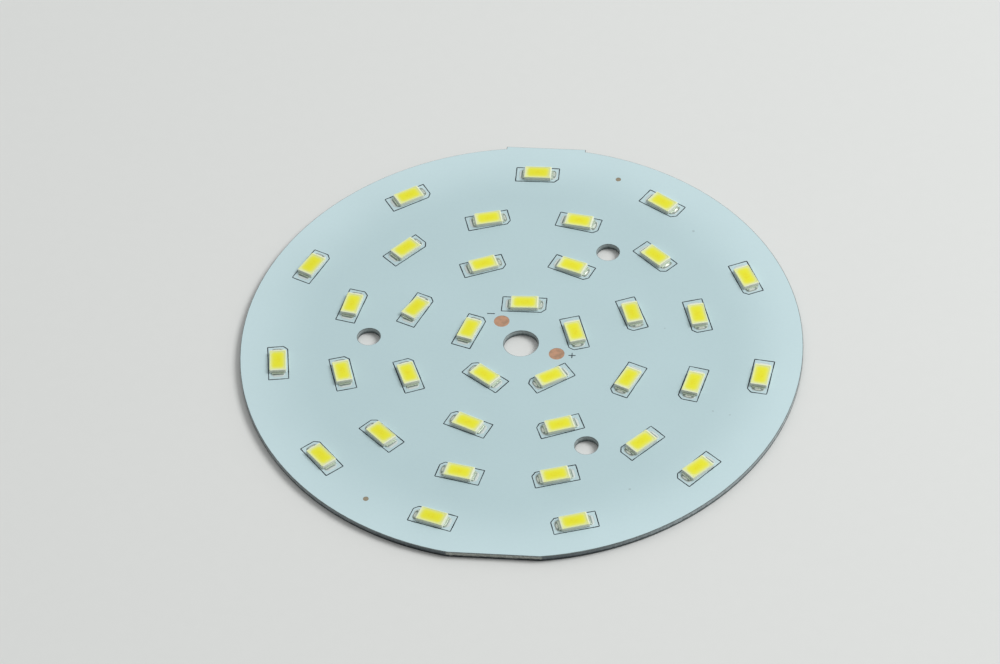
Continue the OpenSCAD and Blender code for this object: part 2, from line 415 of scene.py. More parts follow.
@dataclass(frozen=True)
class MaskFinish(Finish):
    """Printed white solder mask, satin, with painted light that makes it a little lighter towards the rim,
    and a few specks of dust.

    Attributes:
        rim_light_span: Distances from the middle between which the painted light towards the rim grows.
        speck_core: Share of a speck's size that it covers fully.
        specks: Place and size of each speck.
    """

    name: str = "solder_mask"
    rough: Span = (0.44, 0.56)
    relief: float = 0.006
    relief_share: float = 0.35
    middle: Rgb = srgb(183, 207, 211)
    rim: Rgb = srgb(196, 219, 223)
    rim_light_span: Span = (36.0, 50.0)
    clouds: Grain = Grain(0.06, 3.0)
    cloud_spread: float = 0.07
    pigment: Grain = Grain(1.6)
    pigment_spread: float = 0.035
    sheen: Grain = Grain(0.5, 3.0)
    pimples: Grain = Grain(2.4, 3.0)
    speck: Rgb = srgb(160, 179, 182)
    speck_edge: Grain = Grain(3.0)
    speck_core: float = 0.4
    speck_cover: float = 0.7
    specks: tuple[tuple[float, float, float], ...] = (
        (28.7, 29.9, 0.32), (25.2, 5.2, 0.22), (35.0, -14.2, 0.26), (38.0, -14.9, 0.2), (21.9, -33.2, 0.3),
    )

    def make(self) -> Shader:
        """Builds the shader.

        Returns:
            The finished shader.
        """
        shader = Shader(self.name, ior=1.45, specular_ior_level=0.25)
        x, y, _ = shader.on_board()
        # Painted light: the mask is painted lighter towards the rim.
        colour = shader.mix(self.middle, self.rim, x.hypot(y).rise(*self.rim_light_span))
        colour = shader.shaded(colour, shader.noise(self.clouds), self.cloud_spread)
        colour = shader.shaded(colour, shader.noise(self.pigment), self.pigment_spread)
        ragged = shader.noise(self.speck_edge)
        for at_x, at_y, size in self.specks:
            away = (x - at_x).hypot(y - at_y) + ragged.sway(size)
            inside = away.rise(size, self.speck_core * size)
            colour = shader.mix(colour, self.speck, inside * self.speck_cover)
        shader.paint(base_color=colour, roughness=shader.noise(self.sheen).between(*self.rough))
        shader.bump(shader.noise(self.pimples), self.relief, self.relief_share)
        return shader


@dataclass(frozen=True)
class AluminiumFinish(Finish):
    """Rolled aluminium: brushed underneath, punched at its edges, snapped at the tab and the flat.

    A punched edge is sheared above and torn below. The torn part is duller, and its darker colour is also
    painted shade where the edge meets the floor. An edge's front and back are painted darker than its sides,
    as painted shade and light.

    Attributes:
        edge_span: Heights between which the underside becomes an edge.
        side_light_span: Distances along x between which the painted shade of an edge's front and back gives
            way to the painted light of its sides.
        tear_span: Heights between which the sheared part becomes the torn one.
        snapped_y: Distances along y between which a punched edge becomes a snapped one.
        snapped_x: Distances along x between which it does.
        bored_r: Distances from the middle between which an edge becomes the wall of a hole.
        bored_shade_z: Heights between which the painted shade at the bottom of that wall gives way to its
            lighter colour.
    """

    name: str = "punched_aluminium"
    rough: Span = (0.28, 0.48)
    relief: float = 0.02
    relief_share: float = 0.5
    metallic: float = 0.85
    rolled: Rgb = srgb(196, 199, 201)
    streaks: Grain = Grain(3.2, 4.0, (0.02, 1.0, 1.0))
    streak_spread: float = 0.5
    streak_relief: float = 0.25
    bands: Grain = Grain(0.5, 2.0, (0.06, 1.0, 1.0))
    band_spread: float = 0.35
    edge_span: Span = (0.02, 0.1)
    edge_rough: Span = (0.16, 0.26)
    lines: Grain = Grain(2.2, 3.0, (1.0, 1.0, 0.22))
    line_spread: float = 0.7
    side_light_span: Span = (10.0, 38.0)
    sheared_front_shade: Rgb = srgb(102, 110, 114)
    sheared_side_light: Rgb = srgb(168, 178, 181)
    torn_front_shade: Rgb = srgb(58, 64, 68)
    torn_side_light: Rgb = srgb(96, 104, 107)
    torn_rough: float = 0.2
    tear_span: Span = (0.58, 0.42)
    tear_sway: float = 0.5
    snapped: Rgb = srgb(160, 163, 158)
    snapped_y: Span = (48.9, 49.0)
    snapped_x: Span = (8.4, 8.0)
    crumbs: Grain = Grain(2.6, 4.0, (1.0, 1.0, 1.4))
    crumb_spread: float = 1.5
    bored: Rgb = srgb(172, 185, 186)
    bored_low_shade: Rgb = srgb(88, 98, 100)
    bored_r: Span = (40.1, 40.0)
    bored_shade_z: Span = (0.1, 1.0)
    bored_sway: float = 0.4
    bored_spread: float = 0.3
    bored_rough: float = 0.25
    bored_metallic: float = 0.25

    def make(self) -> Shader:
        """Builds the shader.

        Returns:
            The finished shader.
        """
        shader = Shader(self.name)
        x, y, z = shader.on_board()
        edge = z.rise(*self.edge_span)
        flat = abs(y).rise(*self.snapped_y) * abs(x).rise(*self.snapped_x)
        in_hole = x.hypot(y).rise(*self.bored_r) * edge
        streaks, bands = shader.noise(self.streaks), shader.noise(self.bands)
        lines, crumbs = shader.noise(self.lines), shader.noise(self.crumbs)
        # The torn part below is duller, and its darker colour is also painted shade where the edge meets the
        # floor.
        tear = (z + lines.sway(self.tear_sway)).rise(*self.tear_span)
        under = shader.shaded(self.rolled, streaks, self.streak_spread)
        under = shader.shaded(under, bands, self.band_spread)
        # Painted shade and light: an edge's front and back are painted darker than its sides.
        side_light_share = abs(x).rise(*self.side_light_span)
        sheared = shader.mix(self.sheared_front_shade, self.sheared_side_light, side_light_share)
        torn = shader.mix(self.torn_front_shade, self.torn_side_light, side_light_share)
        punched = shader.mix(shader.shaded(sheared, lines, self.line_spread), torn, tear)
        snapped = shader.mix(shader.shaded(self.snapped, crumbs, self.crumb_spread), torn, tear)
        # Painted shade: a hole's wall is painted darker towards its bottom.
        bored = shader.mix(self.bored_low_shade, self.bored, (z + lines.sway(self.bored_sway)).rise(*self.bored_shade_z))
        colour = shader.mix(under, shader.mix(punched, snapped, flat), edge)
        colour = shader.mix(colour, shader.shaded(bored, lines, self.bored_spread), in_hole)
        under_rough = streaks.between(*self.rough)
        edge_rough = lines.between(*self.edge_rough) + tear * self.torn_rough + in_hole * self.bored_rough
        shader.paint(
            base_color=colour,
            metallic=in_hole.between(self.metallic, self.bored_metallic),
            roughness=under_rough + (edge_rough - under_rough) * edge,
        )
        relief = streaks * (1 - edge) * self.streak_relief + lines * edge + crumbs * flat * edge
        shader.bump(relief, self.relief, self.relief_share)
        return shader


@dataclass(frozen=True)
class CopperFinish(Finish):
    """Bare copper with a matt brown bloom, dull grey-brown on the small dots near the rim.

    Attributes:
        bloom_span: Noise at which the bloom starts and at which it is full.
        dull_span: Distances from the middle between which it grows dull.
    """

    name: str = "bare_copper"
    rough: Span = (0.4, 0.6)
    relief: float = 0.004
    bare: Rgb = srgb(196, 152, 124)
    bloom: Rgb = srgb(170, 138, 114)
    dull: Rgb = srgb(152, 142, 122)
    clouds: Grain = Grain(0.9, 4.0)
    bloom_span: Span = (0.35, 0.7)
    dull_span: Span = (38.0, 40.0)
    rolling: Grain = Grain(6.0, 2.0, (0.08, 1.0, 1.0))
    rolling_spread: float = 0.18

    def make(self) -> Shader:
        """Builds the shader.

        Returns:
            The finished shader.
        """
        shader = Shader(self.name, metallic=0.35, specular_ior_level=0.2)
        clouds, rolling = shader.noise(self.clouds), shader.noise(self.rolling)
        x, y, _ = shader.on_board()
        colour = shader.mix(self.bare, self.bloom, clouds.rise(*self.bloom_span))
        colour = shader.mix(colour, self.dull, x.hypot(y).rise(*self.dull_span))
        shader.paint(
            base_color=shader.shaded(colour, rolling, self.rolling_spread),
            roughness=clouds.between(*self.rough),
        )
        shader.bump(rolling, self.relief, self.relief_share)
        return shader


@dataclass(frozen=True)
class InkFinish(Finish):
    """Dark printed ink that lets the mask show where it lies thin.

    Attributes:
        shares: How much patches, pinholes and fading thin the ink.
        thin_span: Sum of the three at which it starts to look thin, and at which it does fully.
    """

    name: str = "printed_ink"
    rough: Span = (0.5, 0.7)
    relief: float = 0.006
    full: Rgb = srgb(30, 38, 46)
    thin: Rgb = srgb(86, 102, 110)
    patches: Grain = Grain(1.3, 3.0)
    pinholes: Grain = Grain(9.0)
    fading: Grain = Grain(0.11, 1.0)
    shares: tuple[float, float, float] = (0.5, 0.3, 0.5)
    thin_span: Span = (0.6, 0.95)

    def make(self) -> Shader:
        """Builds the shader.

        Returns:
            The finished shader.
        """
        shader = Shader(self.name, specular_ior_level=0.25)
        patches, pinholes, fading = map(shader.noise, (self.patches, self.pinholes, self.fading))
        by_patch, by_pinhole, by_fading = self.shares
        thin = (patches * by_patch + pinholes * by_pinhole + fading * by_fading).rise(*self.thin_span)
        shader.paint(
            base_color=shader.mix(self.full, self.thin, thin),
            roughness=pinholes.between(*self.rough),
        )
        shader.bump(pinholes, self.relief, self.relief_share)
        return shader


@dataclass(frozen=True)
class HousingFinish(Finish):
    """White moulded plastic, with painted yellow light from the fill along the cup's edge and painted light
    that lightens its foot.

    Attributes:
        fill_light_reach: How far from the cup the painted yellow light goes.
        fill_light_span: Heights between which the painted yellow light comes up.
    """

    name: str = "moulded_white"
    rough: Span = (0.4, 0.56)
    relief: float = 0.004
    relief_share: float = 0.3
    white: Rgb = srgb(232, 237, 216)
    painted_fill_light: Rgb = srgb(221, 229, 152)
    foot: Rgb = srgb(236, 242, 230)
    height: float = 0.7
    cup_half_l: float = 2.08
    cup_half_w: float = 1.26
    fill_light_reach: float = 0.4
    fill_light_span: Span = (0.5, 0.68)
    flow: Grain = Grain(2.2, 3.0)
    flow_spread: float = 0.07
    mould: Grain = Grain(14.0)

    def make(self) -> Shader:
        """Builds the shader.

        Returns:
            The finished shader.
        """
        shader = Shader(self.name, ior=1.5, specular_ior_level=0.4)
        x, y, z = shader.on_diode()
        from_cup = (abs(x) - self.cup_half_l).most(abs(y) - self.cup_half_w)
        # Painted light: the foot is painted a little lighter, lifting the shade where the housing meets the
        # board.
        colour = shader.mix(self.foot, self.white, z.rise(0.0, self.height))
        # Painted light: yellow light from the fill is painted onto the rim along the cup's edge.
        colour = shader.mix(colour, self.painted_fill_light, from_cup.rise(self.fill_light_reach, 0.0) * z.rise(*self.fill_light_span))
        flow = shader.noise(self.flow)
        shader.paint(
            base_color=shader.shaded(colour, flow, self.flow_spread),
            roughness=flow.between(*self.rough),
        )
        shader.bump(shader.noise(self.mould), self.relief, self.relief_share)
        return shader


@dataclass(frozen=True)
class PhosphorFinish(Finish):
    """Yellow phosphor in clear silicone, deepest over the chip and pale where the cup grows shallow.

    Attributes:
        pale_reach: How far from the cup's edge the paleness goes.
        pale_corner: Rounding of the pale border's corners.
        pale_share: How pale it is at the edge.
        chip_x: Place of the chip along the diode.
        glow_l: Half length of the glow over the chip.
        glow_w: Half width of that glow.
        glow_end: Squared distance at which it ends, in those halves.
        clump_span: Noise at which a clump of grains starts and at which it is full.
    """

    name: str = "yellow_phosphor"
    rough: Span = (0.42, 0.57)
    relief: float = 0.012
    deep: Rgb = srgb(232, 230, 52)
    pale: Rgb = srgb(222, 232, 180)
    glow: Rgb = srgb(230, 216, 46)
    half_l: float = 2.08
    half_w: float = 1.26
    pale_reach: float = 0.24
    pale_corner: float = 0.85
    pale_share: float = 0.78
    chip_x: float = 0.1
    glow_l: float = 0.8
    glow_w: float = 0.5
    glow_end: float = 1.8
    grains: Grain = Grain(5.0, 3.0, roughness=0.7)
    grain_sway: float = 0.5
    grain_spread: float = 0.14
    clumps: Grain = Grain(3.4)
    clump_span: Span = (0.42, 0.66)
    clump_share: float = 0.6
    tone_share: float = 0.2
    tone_spread: float = 0.06
    ripples: Grain = Grain(3.0)

    def from_edge(self, x: Value, y: Value) -> Value:
        """Distance from the edge of the fill, with rounded corners.

        Args:
            x: Place along the diode.
            y: Place across it.

        Returns:
            The distance, positive inside.
        """
        past_x = abs(x) - (self.half_l - self.pale_corner)
        past_y = abs(y) - (self.half_w - self.pale_corner)
        in_corner = past_x.most(0.0).hypot(past_y.most(0.0))
        return self.pale_corner - in_corner - past_x.most(past_y).least(0.0)

    def make(self) -> Shader:
        """Builds the shader.

        Returns:
            The finished shader.
        """
        shader = Shader(self.name, ior=1.42, specular_ior_level=0.12)
        x, y, _ = shader.on_diode()
        tone, grains = shader.tone(), shader.noise(self.grains)
        depth = self.from_edge(x, y).most(0.0) + grains.sway(self.grain_sway)
        colour = shader.mix(self.deep, self.pale, depth.fade(self.pale_reach).least(1.0) * self.pale_share)
        along, across = (x - self.chip_x) / self.glow_l, y / self.glow_w
        over_chip = (along * along + across * across).rise(self.glow_end, 0.0)
        clumps = shader.noise(self.clumps).rise(*self.clump_span)
        warmth = clumps * self.clump_share + tone * self.tone_share
        colour = shader.mix(colour, self.glow, over_chip * warmth)
        colour = shader.shaded(colour, grains, self.grain_spread)
        colour = shader.shaded(colour, tone, self.tone_spread)
        shader.paint(base_color=colour, roughness=grains.between(*self.rough))
        shader.bump(shader.noise(self.ripples), self.relief, self.relief_share)
        return shader


@dataclass(frozen=True)
class SolderFinish(Finish):
    """Reflowed solder: a pale film, painted shade on the fillet at the anode, and at the cathode a drop with
    a painted highlight inside a ring of painted shade.

    Attributes:
        fillet_start: Distances from the diode's middle between which the fillet starts.
        fillet_stop: Distances between which it stops.
        fillet_side: Distances from the centre line between which it stops.
        ring_x: Distance of the ring from the diode's middle.
        ring_l: Half length of the ring along the diode.
        ring_w: Half width of the ring across it.
        ring_inner: Shares of those halves between which the ring starts.
        ring_outer: Shares between which it stops.
        drop_span: Shares between which the drop's painted highlight stops.
        shadow_span: How deep the painted shade of ring and fillet is where the noise is 0 and where it is 1.
    """

    name: str = "solder_tin"
    rough: Span = (0.48, 0.58)
    relief: float = 0.008
    relief_share: float = 0.35
    film: Rgb = srgb(203, 213, 210)
    film_spread: float = 0.16
    film_metallic: float = 0.1
    painted_shade: Rgb = srgb(94, 112, 97)
    painted_highlight: Rgb = srgb(206, 213, 196)
    clouds: Grain = Grain(2.2, 4.0)
    fillet_start: Span = (2.78, 2.86)
    fillet_stop: Span = (3.1, 3.0)
    fillet_side: Span = (1.05, 0.85)
    fillet_sway: float = 0.12
    fillet_dark: float = 0.9
    ring_x: float = 3.02
    ring_l: float = 0.27
    ring_w: float = 0.85
    ring_inner: Span = (0.5, 0.85)
    ring_outer: Span = (1.45, 1.05)
    ring_sway: float = 0.16
    ring_slip: float = 0.5
    ring_dark: float = 0.95
    shadow_span: Span = (0.6, 1.1)
    shadow_metallic: float = 0.4
    drop_span: Span = (0.65, 0.25)
    drop_metallic: float = 0.9
    drop_gloss: float = 0.3
    pits: Grain = Grain(8.0)

    def make(self) -> Shader:
        """Builds the shader.

        Returns:
            The finished shader.
        """
        shader = Shader(self.name)
        x, y, _ = shader.on_diode()
        clouds = shader.noise(self.clouds)
        along = (x - self.ring_x + clouds.sway(self.ring_sway)) / self.ring_l
        across = (y + shader.tone().sway(self.ring_slip)) / self.ring_w
        away = along.hypot(across)
        drop = away.rise(*self.drop_span)
        ring = away.rise(*self.ring_inner) * away.rise(*self.ring_outer)
        to_anode = clouds.sway(self.fillet_sway) - x
        fillet = to_anode.rise(*self.fillet_start) * to_anode.rise(*self.fillet_stop)
        fillet = fillet * abs(y).rise(*self.fillet_side)
        # Painted shade: the ring round the cathode's drop and the anode's fillet.
        shadow = (ring * self.ring_dark).most(fillet * self.fillet_dark)
        shadow = shadow * clouds.between(*self.shadow_span).least(1.0)
        colour = shader.shaded(self.film, clouds, self.film_spread)
        # Painted highlight on the cathode's drop.
        colour = shader.mix(colour, self.painted_highlight, drop)
        colour = shader.mix(colour, self.painted_shade, shadow)
        shader.paint(
            base_color=colour,
            metallic=drop * self.drop_metallic + shadow * self.shadow_metallic + self.film_metallic,
            roughness=clouds.between(*self.rough) - drop * self.drop_gloss,
        )
        shader.bump(shader.noise(self.pits), self.relief, self.relief_share)
        return shader


@dataclass(frozen=True, kw_only=True)
class MottledFinish(Finish):
    """One material in two shades: plated leads, drawn wire, filled resin or a chip's crystal.

    Attributes:
        ground: The colour between the clouds.
        cloud: The colour of the clouds.
        clouds: The clouds' noise.
        cloud_span: Noise at which a cloud starts and at which it is full.
        finer: Grains of relief for each cloud.
    """

    ground: Rgb
    cloud: Rgb
    clouds: Grain
    cloud_span: Span = (0.35, 0.7)
    finer: float = 4.0
    metallic: float = 1.0
    ior: float = 1.5

    def make(self) -> Shader:
        """Builds the shader.

        Returns:
            The finished shader.
        """
        shader = Shader(self.name, metallic=self.metallic, ior=self.ior)
        cloudy = shader.noise(self.clouds).rise(*self.cloud_span)
        shader.paint(
            base_color=shader.mix(self.ground, self.cloud, cloudy),
            roughness=cloudy.between(*self.rough),
        )
        if self.relief:
            shader.bump(shader.noise(Grain(self.clouds.scale * self.finer)), self.relief, self.relief_share)
        return shader


@dataclass(frozen=True)
class FloorFinish(Finish):
    """Plain pale paper under the board."""

    name: str = "floor_paper"
    rough: Span = (0.75, 0.85)
    paper: Rgb = srgb(221, 223, 221)
    fibres: Grain = Grain(0.4, 3.0)
    fibre_spread: float = 0.02

    def make(self) -> Shader:
        """Builds the shader.

        Returns:
            The finished shader.
        """
        shader = Shader(self.name, specular_ior_level=0.1)
        fibres = shader.noise(self.fibres)
        shader.paint(
            base_color=shader.shaded(self.paper, fibres, self.fibre_spread),
            roughness=fibres.between(*self.rough),
        )
        return shader


@dataclass(frozen=True)
class Palette:
    """Every finish of the board, by the names of the record's slots."""

    mask: Finish = MaskFinish()
    aluminium: Finish = AluminiumFinish()
    copper: Finish = CopperFinish()
    ink: Finish = InkFinish()
    housing: Finish = HousingFinish()
    phosphor: Finish = PhosphorFinish()
    solder: Finish = SolderFinish()
    lead: Finish = MottledFinish(
        "silver_plate", (0.36, 0.5), 0.006,
        ground=srgb(203, 216, 197), cloud=srgb(176, 189, 171), clouds=Grain(3.0, 4.0),
    )
    gold: Finish = MottledFinish(
        "gold_wire", (0.15, 0.3), 0.002,
        ground=srgb(226, 184, 98), cloud=srgb(196, 152, 74), clouds=Grain(8.0, 4.0),
    )
    dielectric: Finish = MottledFinish(
        "filled_resin", (0.58, 0.66), 0.01,
        ground=srgb(98, 106, 106), cloud=srgb(150, 156, 154), clouds=Grain(9.0, 3.0), cloud_span=(0.45, 0.7),
        finer=1.0, metallic=0.0,
    )
    chip: Finish = MottledFinish(
        "chip_crystal", (0.15, 0.35),
        ground=srgb(120, 150, 190), cloud=srgb(92, 118, 160), clouds=Grain(20.0), cloud_span=(0.0, 1.0),
        metallic=0.0, ior=1.77,
    )

    def of(self, slot: Slot) -> Finish:
        """The finish of a slot."""
        return getattr(self, slot.value)


def set_down(name: str, data: bpy.types.ID) -> bpy.types.Object:
    """Puts a new object at the scene's origin.

    Args:
        name: The object's name.
        data: Its mesh, lamp or camera.

    Returns:
        The object.
    """
    made = bpy.data.objects.new(name, data)
    bpy.context.scene.collection.objects.link(made)
    return made


class ShapeTree(NodeGraph):
    """A Geometry Nodes tree with named inputs."""

    def __init__(self, name: str) -> None:
        """Starts a tree that takes one geometry and gives one back.

        Args:
            name: The tree's name.
        """
        super().__init__(bpy.data.node_groups.new(name, "GeometryNodeTree"))
        self.identifiers: dict[str, str] = {}
        for way in ("INPUT", "OUTPUT"):
            self.tree.interface.new_socket("Geometry", in_out=way, socket_type="NodeSocketGeometry")
        self.entry = self.node("NodeGroupInput")

    def named(self, name: str, kind: str) -> bpy.types.NodeSocket:
        """Adds a named input.

        Args:
            name: The input's name.
            kind: Its socket type.

        Returns:
            The socket that carries it inside the tree.
        """
        made = self.tree.interface.new_socket(name, in_out="INPUT", socket_type=kind)
        self.identifiers[name] = made.identifier
        return self.entry.outputs[name]

    def close(self, geometry: bpy.types.Node, material: bpy.types.NodeSocket) -> None:
        """Ends the tree with real meshes in one material.

        Args:
            geometry: The node that gives the shape.
            material: The material input's socket.
        """
        real = self.node("GeometryNodeRealizeInstances", inputs={"Geometry": geometry})
        dressed = self.node("GeometryNodeSetMaterial", inputs={"Geometry": real, "Material": material})
        self.node("NodeGroupOutput", inputs={"Geometry": dressed})

    def grow(self, name: str, start: bpy.types.Mesh, values: Mapping[str, Any]) -> bpy.types.Object:
        """Runs the tree on a mesh and keeps the result as a plain mesh.

        Args:
            name: The new piece's name.
            start: The mesh that the tree takes.
            values: A value for each named input.

        Returns:
            The piece, with no modifier left on it.
        """
        piece = set_down(name, start)
        modifier = piece.modifiers.new("shape", "NODES")
        modifier.node_group = self.tree
        for key, value in values.items():
            modifier[self.identifiers[key]] = value
        graph = bpy.context.evaluated_depsgraph_get()
        made = bpy.data.meshes.new_from_object(
            piece.evaluated_get(graph), preserve_all_data_layers=True, depsgraph=graph
        )
        piece.modifiers.clear()
        piece.data = made
        made.name = name
        bpy.data.meshes.remove(start)
        return piece


class PartTree(ShapeTree):
    """Sets one part at every point, turned by the point's turn, with a random tone for each.

    Its inputs are Part, Seed and Material.
    """

    def __init__(self) -> None:
        """Builds the tree."""
        super().__init__("set_out_part")
        part = self.named("Part", "NodeSocketObject")
        seed = self.named("Seed", "NodeSocketInt")
        material = self.named("Material", "NodeSocketMaterial")
        shape = self.node("GeometryNodeObjectInfo", {"transform_space": "ORIGINAL"}, {"Object": part})
        turn = self.node("GeometryNodeInputNamedAttribute", {"data_type": "FLOAT"}, {"Name": "turn"})
        about_z = self.node("ShaderNodeCombineXYZ", inputs={"Z": turn})
        placed = self.node(
            "GeometryNodeInstanceOnPoints",
            inputs={"Points": self.entry, "Instance": shape.outputs["Geometry"], "Rotation": about_z},
        )
        tone = self.node("FunctionNodeRandomValue", {"data_type": "FLOAT"}, {"Seed": seed})
        toned = self.node(
            "GeometryNodeStoreNamedAttribute",
            {"data_type": "FLOAT", "domain": "INSTANCE"},
            {"Geometry": placed, "Name": "tone", "Value": tone},
        )
        self.close(toned, material)


class InkTree(ShapeTree):
    """Lays a slightly ragged line of ink along every edge of a wire.

    Its inputs are Step, Line width, Ink height, Wander, Swell and Material.
    """

    WANDERS_IN_MM = 1.1
    SWELLS_IN_MM = 0.6
    SWELL_DETAIL = 3.0
    SWELL_SPAN = (0.3, 0.7)

    def __init__(self) -> None:
        """Builds the tree."""
        super().__init__("lay_ink")
        sizes = ("Step", "Line width", "Ink height", "Wander", "Swell")
        step, width, height, wander, swell = (self.named(key, "NodeSocketFloat") for key in sizes)
        material = self.named("Material", "NodeSocketMaterial")
        path = self.node("GeometryNodeMeshToCurve", inputs={"Mesh": self.entry})
        even = self.node("GeometryNodeResampleCurve", {"mode": "LENGTH"}, {"Curve": path, "Length": step})
        moved = self.node("GeometryNodeSetPosition", inputs={"Geometry": even, "Offset": self.offset(wander)})
        upright = self.node("GeometryNodeSetCurveNormal", {"mode": "Z_UP"}, {"Curve": moved})
        section = self.node(
            "GeometryNodeCurvePrimitiveQuadrilateral",
            {"mode": "RECTANGLE"},
            {"Width": width, "Height": height},
        )
        share = self.width_share(swell)
        line = self.node(
            "GeometryNodeCurveToMesh",
            inputs={"Curve": upright, "Profile Curve": section, "Scale": share, "Fill Caps": True},
        )
        self.close(line, material)

    def offset(self, wander: bpy.types.NodeSocket) -> bpy.types.Node:
        """Offset in the plane of the board that changes along a line.

        Args:
            wander: The socket of its size.

        Returns:
            The node that gives the offset.
        """
        noise = self.node("ShaderNodeTexNoise", inputs={"Scale": self.WANDERS_IN_MM / MM})
        both_ways = {0: noise.outputs["Color"], 1: (0.5, 0.5, 0.5)}
        centred = self.node("ShaderNodeVectorMath", {"operation": "SUBTRACT"}, both_ways)
        level = self.node("ShaderNodeVectorMath", {"operation": "MULTIPLY"}, {0: centred, 1: (1, 1, 0)})
        return self.node("ShaderNodeVectorMath", {"operation": "SCALE"}, {0: level, "Scale": wander})

    def width_share(self, swell: bpy.types.NodeSocket) -> bpy.types.Node:
        """Share of the full width that changes along a line.

        Args:
            swell: The socket of its least value.

        Returns:
            The node that gives the share.
        """
        sizes = {"Scale": self.SWELLS_IN_MM / MM, "Detail": self.SWELL_DETAIL}
        noise = self.node("ShaderNodeTexNoise", inputs=sizes)
        low, high = self.SWELL_SPAN
        return self.node(
            "ShaderNodeMapRange",
            inputs={"Value": noise, "From Min": low, "From Max": high, "To Min": swell, "To Max": 1.0},
        )


def rounded_plan(length: float, width: float, radius: float, steps: int) -> Plan:
    """Outline of a rectangle with round corners, anticlockwise from the lower right.

    Args:
        length: Size along x.
        width: Size along y.
        radius: Radius of the corners.
        steps: Flats in each corner.

    Returns:
        The outline's points.
    """
    points: Plan = []
    for start, side_x, side_y in ((270, 1, -1), (0, 1, 1), (90, -1, 1), (180, -1, -1)):
        for step in range(steps + 1):
            angle = math.radians(start + 90 * step / steps)
            points.append((
                side_x * (length / 2 - radius) + radius * math.cos(angle),
                side_y * (width / 2 - radius) + radius * math.sin(angle),
            ))
    return points


def finished_mesh(shape: bmesh.types.BMesh, name: str, crease: float) -> bpy.types.Mesh:
    """Makes a mesh with outward faces, curved shading and its own coordinates as an attribute.

    Args:
        shape: The faces, which are freed.
        name: The mesh's name.
        crease: Angle in degrees from which an edge is shaded as a crease.

    Returns:
        The mesh, with its points in millimetres in the attribute local.
    """
    bmesh.ops.recalc_face_normals(shape, faces=shape.faces)
    for face in shape.faces:
        face.smooth = True
    for edge in shape.edges:
        edge.smooth = edge.calc_face_angle(0.0) < math.radians(crease)
    mesh = bpy.data.meshes.new(name)
    shape.to_mesh(mesh)
    shape.free()
    local = mesh.attributes.new("local", "FLOAT_VECTOR", "POINT")
    for vert in mesh.vertices:
        local.data[vert.index].vector = vert.co / MM
    return mesh


class Loft:
    """A mesh skinned over one plan after another."""

    def __init__(self) -> None:
        """Starts with no faces."""
        self.mesh = bmesh.new()
        self.rings: list[Ring] = []

    def ring(self, plan: Plan, height: float) -> None:
        """Adds the next plan and skins up to it.

        Args:
            plan: Its points, as many as in the plan before.
            height: Its height.
        """
        made = [self.mesh.verts.new((x * MM, y * MM, height * MM)) for x, y in plan]
        if self.rings:
            below = self.rings[-1]
            for i, vert in enumerate(made):
                j = (i + 1) % len(made)
                self.mesh.faces.new((below[i], below[j], made[j], vert))
        self.rings.append(made)

    def capped(self, name: str, crease: float) -> bpy.types.Mesh:
        """Closes the first and last plans and makes the mesh.

        Args:
            name: The mesh's name.
            crease: Angle in degrees from which an edge is shaded as a crease.

        Returns:
            The mesh.
        """
        self.mesh.faces.new(list(reversed(self.rings[0])))
        self.mesh.faces.new(self.rings[-1])
        return finished_mesh(self.mesh, name, crease)


def hand_over(piece: bpy.types.Object, slot: Slot, nodes: Iterable[str] = ()) -> None:
    """Puts a finished piece on the board.

    Args:
        piece: The piece, in place.
        slot: The record's slot for its finish; not used.
        nodes: The solids that it stands for.
    """
    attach(piece, "root")
    names = list(nodes)
    if names:
        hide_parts(*names)
    triangles = sum(len(face.vertices) - 2 for face in piece.data.polygons)
    LOG.info("%s: %d triangles, stands for %d solids", piece.name, triangles, len(names))


def dress(node: str, finish: Finish) -> None:
    """Gives a solid of the frame a finish.

    Args:
        node: The solid's name.
        finish: The finish.
    """
    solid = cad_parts[node]
    solid.data.materials.clear()
    solid.data.materials.append(finish.material())
    LOG.info("%s: dressed as %s", node, finish.name)


def height_of(node: str) -> float:
    """Height of a solid of the frame, in millimetres."""
    low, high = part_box(node)
    return (high[2] - low[2]) / MM


